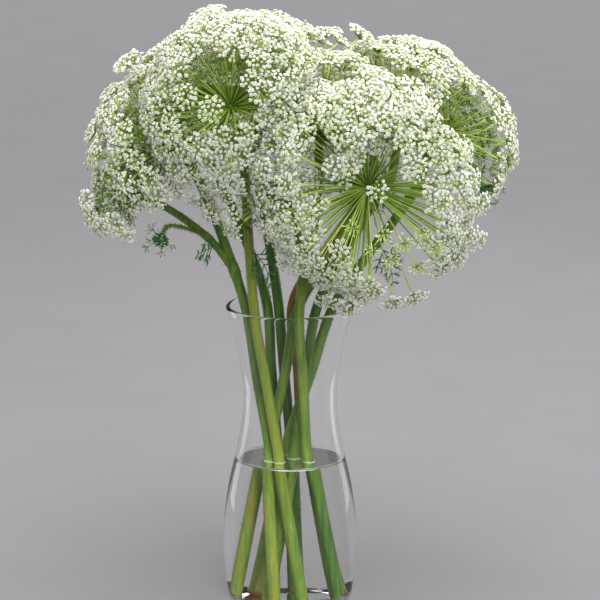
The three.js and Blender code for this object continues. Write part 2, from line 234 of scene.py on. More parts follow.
def sodaLimeGlass():
    # Soda-lime glass, mould-blown: clear, with a slow ripple that bends what stands behind it. Its index is
    # lower than real glass's 1.5, because the bare studio has less to show in it than a room
    material, tree, shader, place = newMaterial(
        "sodaLimeGlass", Roughness=0.0, IOR=1.25, Transmission_Weight=1.0, Base_Color=linear("#ffffff"),
    )
    ripple = node(tree, "ShaderNodeTexNoise", Vector=place, Scale=perMetre / 45, Detail=1.0)
    bump = node(tree, "ShaderNodeBump", Height=ripple.outputs["Fac"], Strength=0.25, Distance=0.6 / perMetre)
    tree.links.new(bump.outputs["Normal"], shader.inputs["Normal"])
    return material


def stillWater(name, ior, clear, mirror):
    # Tap water, still: clear, with the slightest ripple. clear is how much light it lets through, and mirror
    # how much of the room it shows. Where clear is below 1, the rest shows as plain white: a painted
    # highlight
    material, tree, shader, place = newMaterial(
        name, Roughness=0.0, IOR=ior, Transmission_Weight=clear, Metallic=mirror,
        Base_Color=linear("#ffffff"),
    )
    ripple = node(tree, "ShaderNodeTexNoise", Vector=place, Scale=perMetre / 30, Detail=1.0)
    bump = node(tree, "ShaderNodeBump", Height=ripple.outputs["Fac"], Strength=0.1, Distance=0.4 / perMetre)
    tree.links.new(bump.outputs["Normal"], shader.inputs["Normal"])
    return material


def ribbedStalk():
    # A fresh cut stalk, grown: waxy skin with fine ribs along it, yellow-green to blue-green in long patches
    material, tree, shader, place = newMaterial("ribbedStalk", Roughness=0.42, Specular_IOR_Level=0.4)
    tone = node(tree, "ShaderNodeAttribute", {"attribute_name": "tone"}).outputs["Fac"]
    stretched = node(
        tree, "ShaderNodeMapping", Vector=place, Scale=(perMetre / 4, perMetre / 4, perMetre / 50),
    ).outputs[0]
    patches = node(tree, "ShaderNodeTexNoise", Vector=stretched, Scale=1.0, Detail=3.0).outputs["Fac"]
    fine = node(
        tree, "ShaderNodeMapping", Vector=place, Scale=(perMetre / 0.8, perMetre / 0.8, perMetre / 30),
    ).outputs[0]
    streaks = node(tree, "ShaderNodeTexNoise", Vector=fine, Scale=1.0, Detail=2.0).outputs["Fac"]
    mixed = node(tree, "ShaderNodeMath", {"operation": "MULTIPLY_ADD"}, i0=patches, i1=0.9, i2=tone)
    skin = node(tree, "ShaderNodeValToRGB", Fac=mixed.outputs[0], stops=[
        (0.0, "#2b4a1e"), (1.0, "#9c7430"), (0.25, "#4b742a"), (0.5, "#738c30"), (0.75, "#8c8630"),
    ]).outputs[0]
    grey = node(
        tree, "ShaderNodeValToRGB", Fac=streaks, stops=[(0.3, "#5a5a5a"), (0.7, "#b4b4b4")],
    ).outputs[0]
    streaked = node(
        tree, "ShaderNodeMix", {"data_type": "RGBA", "blend_type": "OVERLAY"}, i0=0.4, i6=skin, i7=grey,
    ).outputs[2]
    tree.links.new(streaked, shader.inputs["Base Color"])
    bump = node(tree, "ShaderNodeBump", Height=streaks, Strength=0.5, Distance=0.3 / perMetre)
    tree.links.new(bump.outputs["Normal"], shader.inputs["Normal"])
    return material


def thinStalk():
    # Rays and pedicels, grown: smooth thin stalks, dark green at the hub, in part painted shade, and
    # yellow-green under the florets
    material, tree, shader, place = newMaterial("thinStalk", Roughness=0.5, Specular_IOR_Level=0.35)
    # the tone also carries painted light and shade on the pedicels, by the way their umbellet looks
    tone = node(tree, "ShaderNodeAttribute", {"attribute_name": "tone"}).outputs["Fac"]
    patches = node(tree, "ShaderNodeTexNoise", Vector=place, Scale=perMetre / 20, Detail=2.0).outputs["Fac"]
    mixed = node(tree, "ShaderNodeMath", {"operation": "MULTIPLY_ADD"}, i0=patches, i1=0.3, i2=tone)
    skin = node(tree, "ShaderNodeValToRGB", Fac=mixed.outputs[0], stops=[
        (0.0, "#2c5210"), (1.0, "#e2ecb4"), (0.35, "#7d9e36"), (0.7, "#b4c965"),
    ]).outputs[0]
    tree.links.new(skin, shader.inputs["Base Color"])
    return material


def whitePetal():
    # Petals, grown: thin matte tissue, warm white at the lobes and green towards the middle of the floret.
    # Light seeps through it, so that a petal in the shade of others still glows a little
    material, tree, shader, place = newMaterial(
        "whitePetal", Roughness=0.65, Specular_IOR_Level=0.3, Subsurface_Weight=0.6,
        Subsurface_Scale=2 / perMetre, Subsurface_Radius=(1.0, 1.0, 0.85),
    )
    tone = node(tree, "ShaderNodeAttribute", {"attribute_name": "tone"}).outputs["Fac"]
    patches = node(tree, "ShaderNodeTexNoise", Vector=place, Scale=perMetre / 12, Detail=2.0).outputs["Fac"]
    mixed = node(tree, "ShaderNodeMath", {"operation": "MULTIPLY_ADD"}, i0=patches, i1=0.4, i2=tone)
    petal = node(tree, "ShaderNodeValToRGB", Fac=mixed.outputs[0], stops=[
        (0.0, "#7ba42c"), (1.0, "#f3f4ea"), (0.35, "#c4d674"), (0.7, "#f1f2cf"),
    ]).outputs[0]
    tree.links.new(petal, shader.inputs["Base Color"])
    return material


def threadLeaf():
    # Leaf threads, grown: dull dark green with a blue bloom
    material, tree, shader, place = newMaterial("threadLeaf", Roughness=0.55, Specular_IOR_Level=0.35)
    patches = node(tree, "ShaderNodeTexNoise", Vector=place, Scale=perMetre / 8, Detail=2.0).outputs["Fac"]
    skin = node(tree, "ShaderNodeValToRGB", Fac=patches, stops=[
        (0.3, "#2f5a33"), (0.8, "#6b935a"), (0.6, "#477342"),
    ]).outputs[0]
    tree.links.new(skin, shader.inputs["Base Color"])
    return material


def paintedBoard():
    # Painted board, rolled: matte grey, a little cloudy, with a paler patch in the middle that is a painted
    # pool of light, given in metres
    material, tree, shader, place = newMaterial("paintedBoard", Roughness=0.9)
    # painted pool of light: the board is paler the nearer it lies to this place just behind the vase
    away = node(
        tree, "ShaderNodeVectorMath", {"operation": "DISTANCE"}, i0=place, i1=(0.12, 0.75, 0.0),
    ).outputs["Value"]
    paintedLightPool = node(
        tree, "ShaderNodeMapRange", {"interpolation_type": "SMOOTHERSTEP"}, Value=away,
        From_Min=0.1, From_Max=1.1, To_Min=0.62, To_Max=0.25,
    ).outputs["Result"]
    cloud = node(tree, "ShaderNodeTexNoise", Vector=place, Scale=perMetre / 90, Detail=5.0).outputs["Fac"]
    mixed = node(tree, "ShaderNodeMath", {"operation": "MULTIPLY_ADD"}, i0=cloud, i1=0.3, i2=paintedLightPool)
    paint = node(
        tree, "ShaderNodeValToRGB", Fac=mixed.outputs[0], stops=[(0.0, "#747374"), (1.0, "#898789")],
    ).outputs[0]
    tree.links.new(paint, shader.inputs["Base Color"])
    return material


materials = {
    "glass": sodaLimeGlass(),
    "water": stillWater("stillWater", 1.25, 1.0, 0.0),
    # seen from so low, the surface is more of a mirror than a window
    "waterSurface": stillWater("stillWaterSurface", 1.05, 1.0, 0.8),
    # only partly clear, so that the rest shows as plain white: a painted highlight for the water's bright
    # edge lines
    "waterEdge": stillWater("stillWaterPaintedHighlight", 1.33, 0.7, 0.0),
    "stalk": ribbedStalk(),
    "ray": thinStalk(),
    "petal": whitePetal(),
    "leaf": threadLeaf(),
    "board": paintedBoard(),
}
print("materials made")

# Camera, lights and sweep

# The photo was taken with a long lens, from a little above
view = {
    "target": (7.4, 0.0, 232.6),   # what is in the middle of the picture
    "distance": 3200.0,
    "pitch": 12.4,                 # degrees
    "pictureWidth": 438.0,         # what the picture takes in at the target
    "filmWidth": 36.0,
    "farthest": 50.0,              # metres
}


def addCamera():
    camera = bpy.data.cameras.new("camera")
    camera.sensor_width = view["filmWidth"]
    camera.lens = camera.sensor_width * view["distance"] / view["pictureWidth"]
    camera.clip_end = view["farthest"]
    holder = bpy.data.objects.new("camera", camera)
    pitch = math.radians(view["pitch"])
    back = np.array([0.0, -math.cos(pitch), math.sin(pitch)])
    holder.location = (np.array(view["target"]) + back * view["distance"]) / perMetre
    holder.rotation_euler = (math.pi / 2 - pitch, 0.0, 0.0)
    bpy.context.collection.objects.link(holder)
    bpy.context.scene.camera = holder


# Lights, in metres and watts: where each stands, what it looks at, its width and height, its power, and where
# it counts: diffuse on matte things, glossy as a reflection, transmission through glass. The two strips only
# show as bands in the glass
softboxes = {
    "keyAbove": {"place": (0.4, -1.5, 4.8), "aim": (0, 0.3, 0.3), "size": (6.0, 5.5), "power": 525,
                 "counts": ("diffuse", "glossy", "transmission")},
    "fillFront": {"place": (0.9, -2.7, 1.2), "aim": (0, 0, 0.25), "size": (1.0, 0.9), "power": 48,
                  "counts": ("diffuse",)},
    "backdropLamp": {"place": (0, 3.5, 1.7), "aim": (0, 3.2, 0), "size": (5, 0.6), "power": 40,
                     "counts": ("diffuse",)},
    "stripLeft": {"place": (-0.42, 0.27, 0.6), "aim": (0, 0, 0.6), "size": (0.16, 1.18), "power": 1.6,
                  "counts": ("glossy",)},
    "stripRight": {"place": (0.42, 0.27, 0.6), "aim": (0, 0, 0.6), "size": (0.16, 1.18), "power": 1.6,
                   "counts": ("glossy",)},
}

# The room's own light
room = {"colour": "#e8e9ec", "strength": 0.36}


def addLights():
    for name, box in softboxes.items():
        light = bpy.data.lights.new(name, "AREA")
        light.shape = "RECTANGLE"
        light.size, light.size_y = box["size"]
        light.energy = box["power"]
        holder = bpy.data.objects.new(name, light)
        holder.location = box["place"]
        holder.visible_camera = False
        for kind in ("diffuse", "glossy", "transmission"):
            setattr(holder, "visible_" + kind, kind in box["counts"])
        aim = Vector(box["aim"]) - Vector(box["place"])
        holder.rotation_euler = aim.to_track_quat("-Z", "Y").to_euler()
        bpy.context.collection.objects.link(holder)
    world = bpy.data.worlds.new("studio")
    world.use_nodes = True
    background = world.node_tree.nodes["Background"]
    background.inputs["Color"].default_value = linear(room["colour"])
    background.inputs["Strength"].default_value = room["strength"]
    bpy.context.scene.world = world
    bpy.context.scene.view_settings.view_transform = "Standard"


# The sweep runs along the floor and turns up into the backdrop; metres
sweep = {"front": -6.0, "back": 5.2, "bend": 0.8, "height": 3.5, "width": 11.0, "steps": 12}


def addSweep():
    turn = np.linspace(0, math.pi / 2, sweep["steps"] + 1)
    wall = sweep["back"] + sweep["bend"]
    y = np.concatenate([[sweep["front"]], sweep["back"] + sweep["bend"] * np.sin(turn), [wall]])
    z = np.concatenate([[0.0], sweep["bend"] * (1 - np.cos(turn)), [sweep["height"]]])
    half = sweep["width"] / 2
    points = [(x, a, b) for a, b in zip(y, z) for x in (-half, half)]
    faces = [(2 * i, 2 * i + 1, 2 * i + 3, 2 * i + 2) for i in range(len(y) - 1)]
    mesh = bpy.data.meshes.new("sweep")
    mesh.from_pydata(points, [], faces)
    mesh.shade_smooth()
    mesh.materials.append(materials["board"])
    board = bpy.data.objects.new("sweep", mesh)
    bpy.context.collection.objects.link(board)


addCamera()
addLights()
addSweep()
print("camera, lights and sweep placed")

# Vase and water

vase = {
    # radius and height of the outer wall, from the foot over the belly and the waist to the lip
    "outline": [(41, 0), (44.4, 7), (49.3, 52), (46, 90), (35.4, 141), (34.6, 168), (39.6, 202), (46.6, 227)],
    "wall": 2.8,
    "floor": 8.0,
    "dishHalf": (0.6, 0.3),    # how far out, as a share, and how high the floor has risen about halfway
    "dishEdge": (3, 2.2),      # how far in from the wall, and how high it has risen at its edge
    "dishSteps": 14,
    "cornerHeight": 6.0,       # where the inner wall starts, above the floor
    "footRound": 2.2,
    "footHollow": 0.9,         # how far the middle of the underside stands off the table
    "hollowEdge": (9, 6),      # from the foot's edge to where this hollow ends, and to its standing ring
    "lipSwell": 1.12,          # how thick the lip is, against the wall
    "lipArc": (-10, 190, 9),   # degrees where its round starts and ends, and steps
    "footArc": (-90, -25, 4),  # the same for the foot's
    "sides": 96,
    "steps": 44,
}


def wallLine(inward):
    # the outer wall from foot to lip, moved inward by a distance
    flat = [(r, 0, z) for r, z in vase["outline"]]
    line = smoothLine(flat, vase["steps"])[:, [0, 2]]
    along = unit(np.gradient(line, axis=0))
    return line + inward * np.column_stack([-along[:, 1], along[:, 0]])


def arc(centre, radius, start, end, steps):
    # part of a circle, from one angle to another in degrees
    turn = np.radians(np.linspace(start, end, steps + 1))
    return np.column_stack([centre[0] + radius * np.cos(turn), centre[1] + radius * np.sin(turn)])


def makeVase():
    wall, floor, foot = vase["wall"], vase["floor"], vase["footRound"]
    outside = wallLine(0)
    inside = wallLine(wall)
    lip = arc(wallLine(wall / 2)[-1], wall / 2 * vase["lipSwell"], *vase["lipArc"])
    innerWall = inside[inside[:, 1] > floor + vase["cornerHeight"]]
    corner, cornerTop = innerWall[0]
    (share, low), (inward, high) = vase["dishHalf"], vase["dishEdge"]
    dish = smoothLine([(0, 0, floor), (corner * share, 0, floor + low), (corner - inward, 0, floor + high),
                       (corner, 0, cornerTop)], vase["dishSteps"])[:, [0, 2]]
    edge = outside[0, 0]
    base = arc((edge - foot * 0.4, foot), foot, *vase["footArc"])
    hollow, ring = vase["hollowEdge"]
    underside = [[0, vase["footHollow"]], [edge - hollow, vase["footHollow"]], [edge - ring, 0]]
    outerWall = outside[outside[:, 1] > foot * 1.2][:-1]
    skin = Skin()
    outline = np.vstack([underside, base, outerWall, lip, innerWall[::-1][1:-1], dish[::-1]])
    skin.add(*lathe(outline, vase["sides"]))
    buildPiece("vaseGlass", skin, materials["glass"], "vase").visible_shadow = False


water = {
    "level": 114.0,
    "intoGlass": 0.35,    # how far the water's skin lies inside the glass, so that no air shows between
    "climb": 1.0,         # how high it climbs up the glass and the stems
    "climbWidth": 0.8,
    "bead": 0.45,         # half the thickness of the painted highlight along the glass
    "stemBead": 0.7,      # and of that round a stem, as a share of it
    "beadHeight": 0.5,    # how high these lines lie over the water, and how far from glass and from stems
    "fromGlass": 0.5,
    "fromStem": 0.35,
    "corner": (4, 2),     # how far its lowest ring lies in from the wall, and above the floor
    "underFloor": 0.4,    # how far its middle lies below the floor, so that no air shows there
    "rings": 96,
    "ringGrowth": 0.8,    # below 1, the rings of the surface lie closer together near the glass
    "sides": 128,
    "beadSteps": 64,
    "beadSides": 6,
}


def waterTop(stemFeet, edge):
    # the surface in rings; it climbs where it meets the glass or a stem
    turn = around(water["sides"])
    radius = edge * np.linspace(0, 1, water["rings"] + 1)[1:] ** water["ringGrowth"]
    x, y = radius[:, None] * np.cos(turn), radius[:, None] * np.sin(turn)
    near = edge - radius[:, None] + 0 * x
    for footX, footY, stemRadius in stemFeet:
        near = np.minimum(near, np.maximum(np.hypot(x - footX, y - footY) - stemRadius, 0))
    z = water["level"] + water["climb"] * np.exp(-near / water["climbWidth"])
    return np.stack([x, y, z], axis=2)


def makeWater(stemFeet):
    inner = wallLine(vase["wall"] - water["intoGlass"])
    below = inner[(inner[:, 1] > vase["floor"] + vase["cornerHeight"]) & (inner[:, 1] < water["level"])]
    edge = np.interp(water["level"], inner[:, 1], inner[:, 0])
    inward, rise = water["corner"]
    corner = [below[0, 0] - inward, vase["floor"] + rise]
    walls = turned(np.vstack([corner, below]), water["sides"])
    rings = np.concatenate([walls, waterTop(stemFeet, edge)[::-1]])
    skin = Skin()
    skin.add(*closedRings(rings, vase["floor"] - water["underFloor"], water["level"]))
    piece = buildPiece("waterFill", skin, materials["water"], "water")
    piece.visible_shadow = False
    piece.data.materials.append(materials["waterSurface"])
    for face in piece.data.polygons:
        if face.center.z > water["level"] / perMetre - 1e-5:
            face.material_index = 1
    makeBeads(stemFeet, edge)


def makeBeads(stemFeet, edge):
    # painted highlights: the bright lines where the water climbs the glass and the stems, drawn as thin rings
    # of water that is partly plain white
    circles = [(0, 0, edge - water["fromGlass"], water["bead"])]
    for x, y, radius in stemFeet:
        circles.append((x, y, radius + water["fromStem"], water["stemBead"] * water["bead"]))
    height = water["level"] + water["beadHeight"]
    turn = np.linspace(0, math.tau, water["beadSteps"] + 1)
    skin = Skin()
    for x, y, radius, thick in circles:
        ring = np.column_stack([x + radius * np.cos(turn), y + radius * np.sin(turn), 0 * turn + height])
        skin.add(*tubes(ring[None], np.full((1, len(turn)), thick), water["beadSides"]))
    buildPiece("waterEdge", skin, materials["waterEdge"], "water").visible_shadow = False


# Stems

# The heights at which a stem's place is given. It is straight from its foot up to the neck, and from there to
# the vase's mouth
standing = {
    "foot": 10.0,
    "neck": 124.0,
    "mouth": 230.0,
}

# Heads. hub: where the rays spring from. faces: the way the dome looks. reach: length of the rays. spread:
# degrees from the axis to the outermost ray. open: degrees round the axis without rays, if any. Either foot,
# neck and mouth, where the stem stands at these heights, or the stem it branches from, how far up, and its
# own radius. upright: how far the stem's last stretch leans towards upright. cover: how much of the dome the
# umbellets fill. apart: how far apart they stand, in the sum of their radii. Where upright or apart is left
# out, the value in stem or umbel counts. inner: how many more stand inside the dome, as a share of them.
# single and spent: umbellets listed one by one, and those of them that have shed their petals, as how far
# they lie across from the hub, above it and before it, and how wide they are against the others. age: 0 is
# white, and
# more is greener. hue: the stem's colour under water and above it, from blue-green at 0 to brown at 1
heads = {
    "right_front": {
        "hub": (56, -50, 326), "faces": (0.05, -0.98, -0.08), "reach": 80, "spread": 100, "open": 34,
        "foot": (-14, -10), "neck": (4, -3), "mouth": (20, -8),
        "cover": 1.25, "age": 0.0, "hue": (0.4, 0.2),
        "single": [(-24, 22, 46, 1), (-13, 26, 50, 0.9), (30, 22, 50, 1), (6, 7, 52, 0.9), (-34, -2, 44, 0.8),
                   (-36, -22, 40, 0.9), (-20, -34, 42, 0.9), (44, 4, 46, 0.9), (76, -36, 8, 1),
                   (62, -50, 8, 1.1), (50, -56, 8, 1.1), (32, -76, 10, 1.2), (18, -78, 14, 1.2),
                   (-4, -74, 20, 1), (-15, -81, 18, 1.2), (-28, -77, 12, 1.2)],
        "spent": [(10, -22, 56, 0.9), (24, -30, 52, 1), (36, -22, 54, 0.8), (46, -34, 46, 0.9),
                  (16, -42, 50, 0.9), (34, -48, 44, 1), (2, -34, 54, 0.8), (-12, -18, 54, 0.8)],
    },
    "left_front": {
        "hub": (-42, -36, 382), "faces": (-0.25, -0.87, 0.35), "reach": 66, "spread": 98, "open": 26,
        "foot": (8, -14), "neck": (-9, -16), "mouth": (-26, -17),
        "cover": 1.15, "inner": 0.9, "apart": 1.1, "age": 0.0, "hue": (0.42, 0.55),
        "single": [(-12, 6, 48, 1.1), (-30, 14, 42, 1.1), (-22, -66, 8, 1), (-37, -60, 4, 0.9),
                   (-14, -76, 10, 0.9)],
    },
    "centre_front": {
        "hub": (21, -20, 357), "faces": (0.0, -0.5, 0.87), "reach": 68, "spread": 80,
        "foot": (31, -10), "neck": (12, -14), "mouth": (7, -22),
        "cover": 1.15, "inner": 0.8, "age": 0.05, "hue": (0.15, 0.4),
        "single": [(5, 70, -14, 1.3)],
    },
    "top": {
        "hub": (-30, 16, 383), "faces": (-0.2, -0.2, 0.96), "reach": 66, "spread": 82,
        "single": [(80, 39, -6, 1.4), (65, 36, -2, 1), (-28, 54, 10, 1.7)],
        "foot": (3, 30), "neck": (0, 24), "mouth": (-9, 19),
        "cover": 1.1, "inner": 1.0, "age": 0.1, "hue": (0.2, 0.2),
    },
    "right_top": {
        "hub": (81, 6, 366), "faces": (0.3, -0.25, 0.92), "reach": 65, "spread": 80,
        "foot": (-32, 4), "neck": (-15, 2), "mouth": (8, 6),
        "cover": 1.1, "inner": 0.6, "age": 0.05, "hue": (0.5, 0.35),
    },
    "right_side": {
        "hub": (114, 20, 354), "faces": (0.75, -0.1, 0.65), "reach": 56, "spread": 95,
        "foot": (-18, 18), "neck": (-2, 9), "mouth": (33, 0),
        "cover": 1.1, "inner": 1.4, "age": 0.1, "hue": (0.4, 0.3),
    },
    "left_top": {
        "hub": (-86, 0, 349), "faces": (-0.55, -0.5, 0.67), "reach": 63, "spread": 94,
        "single": [(-28, 57, 4, 1.4)],
        "upright": 0.2, "foot": (-10, -26), "neck": (-15, -9), "mouth": (-33, -2),
        "cover": 1.15, "inner": 1.7, "apart": 1.0, "age": 0.1, "hue": (0.52, 0.3),
    },
    "left_low": {
        "hub": (-117, -12, 316), "faces": (-0.6, -0.6, 0.4), "reach": 39, "spread": 92,
        "upright": 0.0, "from": "left_top", "at": 0.7, "radius": 2.6,
        "cover": 1.1, "inner": 1.7, "age": 0.1,
    },
    "back_left": {
        "hub": (-64, 56, 370), "faces": (-0.35, 0.5, 0.79), "reach": 61, "spread": 80,
        "foot": (-9, 30), "neck": (-10, 21), "mouth": (-18, 22),
        "cover": 0.95, "inner": 1.0, "age": 0.1, "hue": (0.3, 0.25),
    },
    "back": {
        "hub": (68, 60, 346), "faces": (0.4, 0.4, 0.82), "reach": 70, "spread": 84,
        "foot": (24, 19), "neck": (9, 17), "mouth": (3, 15),
        "cover": 0.95, "inner": 0.6, "age": 0.1, "hue": (0.4, 0.95),
    },
    "centre_low": {
        "hub": (-14, -36, 316), "faces": (-0.3, -0.9, 0.1), "reach": 44, "spread": 94,
        "upright": 0.0, "from": "centre_front", "at": 0.7, "radius": 2.6,
        "cover": 0.9, "inner": 1.0, "age": 0.05,
    },
    "left_young": {
        "hub": (-94, -18, 281), "faces": (-0.25, -0.9, -0.3), "reach": 13, "spread": 84,
        "upright": 0.0, "from": "left_low", "at": 0.3, "radius": 1.2,
        "cover": 0.9, "age": 0.45,
    },
    "right_young": {
        "hub": (143, 6, 313), "faces": (0.4, -0.7, -0.6), "reach": 14, "spread": 84,
        "upright": 0.0, "from": "right_side", "at": 0.86, "radius": 1.2,
        "cover": 0.9, "age": 0.5,
    },
}

# A head with rays this long or longer has a hub and a stem end of full size; the shortest come near smallest
fullReach = 50.0
smallest = 0.3

# Hollows that one looks into from the front: the middle of each, its half width and half height, and how far
# back it clears the umbellets away
hollows = [
    {"x": 124, "z": 366, "wide": 20, "high": 13, "back": 34},
    {"x": 137, "z": 336, "wide": 8, "high": 18, "back": 34},
    {"x": 22, "z": 337, "wide": 8, "high": 15, "back": 0},
    {"x": -44, "z": 376, "wide": 20, "high": 11, "back": 0},
    {"x": 64, "z": 300, "wide": 34, "high": 23, "back": 40},
    {"x": 82, "z": 254, "wide": 20, "high": 16, "back": 40},
    {"x": -36, "z": 263, "wide": 22, "high": 12, "back": 60},
]

# Seen from the camera's height, a thing further back looks higher by this share
rising = 0.22

stem = {
    "radius": 3.8,
    "width": (1.04, 0.2),          # how wide its foot is against that, and how much of it its top has lost
    "branchWidth": (1.08, 0.16),
    "ribs": 11,
    "ribHeight": 0.06,
    "sides": 33,
    "branchSides": 14,
    "steps": 90,
    "branchSteps": 24,
    "between": (66, 176),          # more heights at which the straight parts are held straight
    "upright": 0.45,
    "lastStretch": 46,             # the length over which it turns towards its hub
    "clearOfHub": 6.3,
    "branchAhead": 5,              # how far a branch follows its stem first, in its own radius
    "branchBend": (0.3, 0.5),      # where its next point lies, and where its last stretch begins, as shares
    "swelling": 0.22,              # how much thicker it is where a branch leaves it
    "swellingLength": 0.014,       # as a share of the stem's length
    "colourChange": (30, 50),      # how far below and above the water's surface its colour changes
    "toneShift": 0.42,
    "cutTone": 0.6,                # the cut end has gone brown
}

hair = {
    "count": 240,
    "span": (0.02, 0.97),
    "length": 2.0,
    "lengths": (0.4, 1.2),
    "radius": 0.26,
    "lean": 0.3,
    "rooted": 0.95,                # how far out of the stem's middle it starts, in the stem's radius
    "tone": 0.1,
}


def sizeOf(head):
    return smallest + (1 - smallest) * min(1, head["reach"] / fullReach)


def standingPoint(head, height):
    start, end = ("foot", "neck") if height <= standing["neck"] else ("neck", "mouth")
    share = (height - standing[start]) / (standing[end] - standing[start])
    x, y = np.array(head[start]) + share * np.subtract(head[end], head[start])
    return np.array([x, y, height])


def arrival(head, distance):
    # where the stem's last stretch begins, below the hub
    facing = unit(head["faces"])
    way = unit(facing + (up - facing) * head.get("upright", stem["upright"]))
    return np.array(head["hub"]) - way * distance


def seat(head):
    # the stem's last two points, in line with the head's axis
    end = stem["clearOfHub"] * sizeOf(head)
    return [np.array(head["hub"]) - unit(head["faces"]) * below for below in (2 * end, end)]


def stemLine(head, lines):
    if "foot" in head:
        low, high = stem["between"]
        heights = [standing["foot"], low, water["level"], standing["neck"], high, standing["mouth"]]
        points = [standingPoint(head, z) for z in heights] + [arrival(head, stem["lastStretch"])] + seat(head)
        return smoothLine(points, stem["steps"])
    fork, along = pointAt(lines[head["from"]], head["at"])
    bend = fork + along * stem["branchAhead"] * head["radius"]
    near, far = stem["branchBend"]
    outward = arrival(head, far * np.linalg.norm(bend - head["hub"]))
    return smoothLine([fork, bend + near * (outward - bend), outward] + seat(head), stem["branchSteps"])


def addHairs(skin, line, radius, tone, rng):
    places = rng.uniform(*hair["span"], hair["count"])
    starts, ends = [], []
    for place, turn in zip(places, rng.uniform(0, math.tau, len(places))):
        centre, along = pointAt(line, place)
        right = unit(np.cross(along, [0, 1, 0]))
        out = math.cos(turn) * right + math.sin(turn) * np.cross(along, right)
        foot = centre + out * np.interp(place, np.linspace(0, 1, len(radius)), radius) * hair["rooted"]
        starts.append(foot + (out + hair["lean"] * along) * hair["length"] * rng.uniform(*hair["lengths"]))
        ends.append(foot)
    points, faces = spindles(np.array(starts), np.array(ends), hair["radius"])
    skin.add(points, faces, tone)


def rootOf(name):
    # the stem that stands in the vase and carries this one, or is this one
    while "from" in heads[name]:
        name = heads[name]["from"]
    return name


def stalkRadii(name, share):
    # the radius along a stem, with a swelling wherever a branch leaves it
    head = heads[name]
    width, loss = stem["width"] if "foot" in head else stem["branchWidth"]
    radius = head.get("radius", stem["radius"]) * (width - loss * share)
    for other in heads.values():
        if other.get("from") == name:
            bulge = np.exp(-((share - other["at"]) / stem["swellingLength"]) ** 2)
            radius = radius * (1 + stem["swelling"] * bulge)
    return radius


def stalkTones(line, wet, dry):
    below, above = stem["colourChange"]
    heights = [water["level"] - below, water["level"] + above]
    tones = np.interp(line[:, 2], heights, [wet, dry]) - stem["toneShift"]
    tones[0] = stem["cutTone"]
    return tones


def makeStems():
    # one piece for each stem that stands in the vase, with its branches in it
    lines, skins = {}, {}
    rng = np.random.default_rng(seed)
    for name, head in heads.items():
        line = stemLine(head, lines)
        lines[name] = line
        root = rootOf(name)
        sides, ribs = stem["branchSides"], 0
        if root == name:
            skins[name] = Skin()
            sides, ribs = stem["sides"], stem["ribs"]
        radius = stalkRadii(name, np.linspace(0, 1, len(line)))
        points, faces = tubes(line[None], radius[None], sides, stem["ribHeight"], ribs)
        wet, dry = heads[root]["hue"]
        skins[root].add(points, faces, np.repeat(stalkTones(line, wet, dry), sides))
        addHairs(skins[root], line, radius, dry + hair["tone"], rng)
    for name, skin in skins.items():
        buildPiece("stem_" + name + "_stalk", skin, materials["stalk"], "stem_" + name)
    return lines


# Umbels

umbel = {
    "domeHeight": 0.84,         # a dome is this much lower than a half ball
    "umbelletRadius": 9.2,
    "youngReach": 30,           # a head with shorter rays is a young one, still green and closed
    "youngUmbellet": 0.34,      # its umbellets' radius, as a share of its reach
    "crowding": 1.85,           # at 2, as many umbellets are tried as would just cover the dome
    "scatter": 0.035,
    "stretch": (0.92, 1.03),    # how far out an umbellet stands, in the head's reach
    "longShare": 0.06,          # some stand out from the dome
    "longStretch": 1.05,
    "sizes": (0.8, 1.12),
    "topSize": 0.4,             # umbellets on top are this much wider; it fades out at the height topStart
    "topStart": 0.6,
    "apart": 0.93,
    "clearOfStems": 1.0,
    "rayRadius": 0.5,
    "thinnest": 0.45,           # how thick a small head's rays are at least, against that
    "rayWidth": ([0, 0.15, 0.9, 1], [1.5, 1.1, 0.85, 1.5]),   # thicker at the hub and the top
    "rayTones": (0.05, 0.3),
    "rayPalingAndPaintedShade": 0.3,           # how much paler a ray is at its top than at the hub: partly its own colour, partly painted shade inside the head
    "raySides": 4,
    "raySteps": 6,
    "rayArch": 0.07,
    "arches": (-0.5, 2.5),
    "rayStart": 1.8,
    "sink": 0.45,               # how far an umbellet's foot lies below the dome, in its radius
    "tilt": 0.6,                # how much an umbellet looks the head's way rather than its ray's
    "innerReach": (0.5, 0.74),
    "innerSize": 0.62,
    "innerDepth": 25,           # the hollows reach this much less far back for the inner ones
    "hubRadius": 5.0,
    # radius and height of the hub, from the stem's end to the disc that the rays spring from
    "hub": [(0, -6.0), (4.0, -6.0), (4.3, -3), (5.0, -0.6), (4.5, 1.2), (0, 2.6)],
    "hubSides": 14,
    "hubTone": 0.15,
}

# What is tried for an umbellet until it is clear of the others: its share of the reach, and a turn
tries = [(1, 0), (0.93, 0), (1, 0.12), (1, -0.12), (0.86, 0), (0.9, 0.2), (0.9, -0.2), (0.79, 0), (0.7, 0)]


def domeDirections(head, count, opening):
    # points on a dome, evenly spread by the golden angle, with none nearer to the axis than the opening
    top = math.cos(math.radians(opening))
    edge = math.cos(math.radians(head["spread"]))
    i = np.arange(count)
    z = top + (edge - top) * (i + 0.5) / count
    r = np.sqrt(1 - z * z)
    return np.column_stack([r * np.cos(i * goldenAngle), r * np.sin(i * goldenAngle), z])


def axes(facing):
    # a right-handed set of axes whose third is the way a head looks, turned the shortest way from upright
    facing = unit(facing)
    across = np.cross(up, facing)
    sine, cosine = np.linalg.norm(across), facing[2]
    if sine < 1e-6:
        return np.eye(3)
    k = across / sine
    cross = np.array([[0, -k[2], k[1]], [k[2], 0, -k[0]], [-k[1], k[0], 0]])
    return np.eye(3) + sine * cross + (1 - cosine) * cross @ cross


def turnAbout(v, angle):
    c, s = math.cos(angle), math.sin(angle)
    return np.array([c * v[0] - s * v[1], s * v[0] + c * v[1], v[2]])


def isYoung(head):
    return head["reach"] < umbel["youngReach"]


